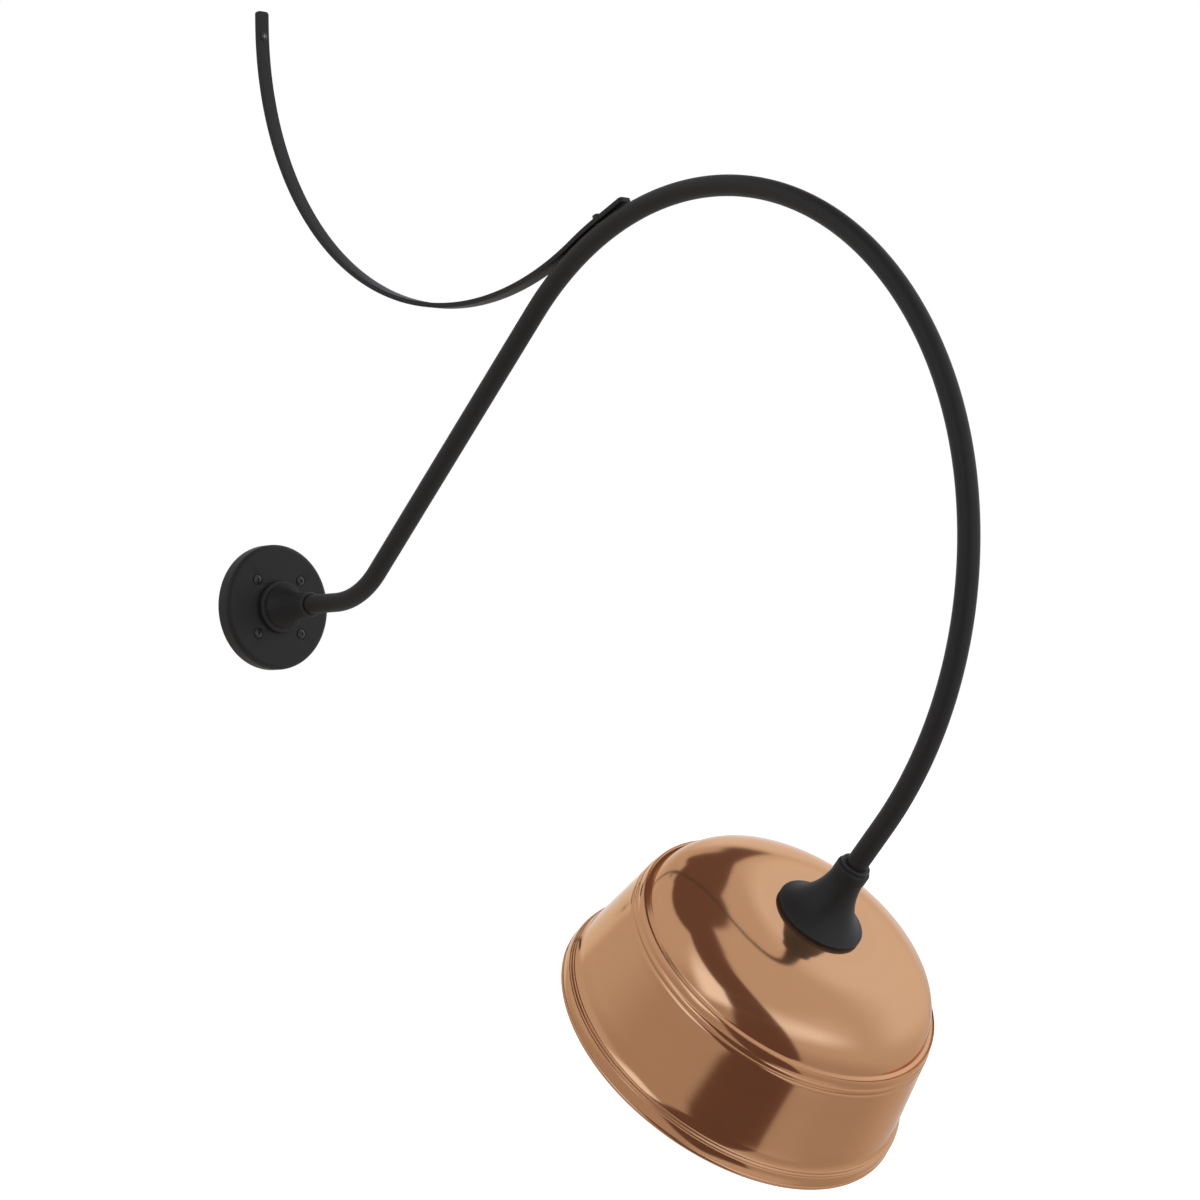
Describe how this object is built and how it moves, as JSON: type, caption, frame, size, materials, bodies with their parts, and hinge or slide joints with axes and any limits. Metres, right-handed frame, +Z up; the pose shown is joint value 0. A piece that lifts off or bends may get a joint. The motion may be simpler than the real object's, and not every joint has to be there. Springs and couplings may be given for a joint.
{
  "type": "gooseneck wall sconce",
  "caption": "Wall light with a bent tube arm on a round plate, a flat brace strap, and a spun copper bell shade tilted at 45 degrees over a screw-base lamp.",
  "frame": {"origin": "centre of the wall plate, on the wall", "axes": "+X out of the wall, +Z up, +Y sideways; the sconce is symmetric about Y = 0"},
  "size_m": [0.9868, 0.3296, 1.1391],
  "materials": {
    "black_coat": "satin black powder coat",
    "black_screws": "black screw finish",
    "copper": "polished copper",
    "zinc_steel": "bright zinc",
    "earth_green": "green screw finish",
    "seal_rubber": "black foam rubber",
    "white_ceramic": "glazed white ceramic",
    "nickel_shell": "nickel-plated brass",
    "contact_brass": "bright brass",
    "bulb_glass": "clear glass",
    "black_glass": "black insulator",
    "solder": "dull solder",
    "filament_wire": "dark wire"
  },
  "bodies": {
    "fixture": {"wall_plate": "black_coat", "wall_gasket": "seal_rubber", "plate_screws": "black_screws", "earth_screw": "earth_green", "wall_hub": "black_coat", "hub_set_screw": "black_screws", "hub_nipple": "zinc_steel", "hub_washer": "zinc_steel", "hub_locknut": "zinc_steel", "arm_tube": "black_coat", "brace_rivet_nut": "zinc_steel", "brace_strap": "black_coat", "brace_wall_screw": "black_screws", "brace_arm_screw": "black_screws", "fitter_ring": "black_coat", "fitter_bell": "black_coat", "fitter_set_screw": "black_screws", "arm_end_bushing": "zinc_steel", "lamp_nipple": "zinc_steel", "shade": "copper", "shade_skirt": "copper", "shade_washer": "zinc_steel", "shade_locknut": "zinc_steel", "lampholder_cap": "zinc_steel", "lampholder_body": "white_ceramic", "lampholder_shell": "nickel_shell", "lampholder_contact": "contact_brass", "lampholder_screws": "zinc_steel", "terminal_screws": "contact_brass"},
    "lamp": {"bulb_glass": "bulb_glass", "bulb_cap": "nickel_shell", "bulb_insulator": "black_glass", "bulb_contact": "solder", "bulb_stem": "bulb_glass", "bulb_filament": "filament_wire"}
  },
  "joints": [
    {"name": "lamp_change", "type": "slide", "parent": "fixture", "child": "lamp", "axis": [-0.7071, 0, -0.7071], "range_m": [0, 0.03]}
  ]
}
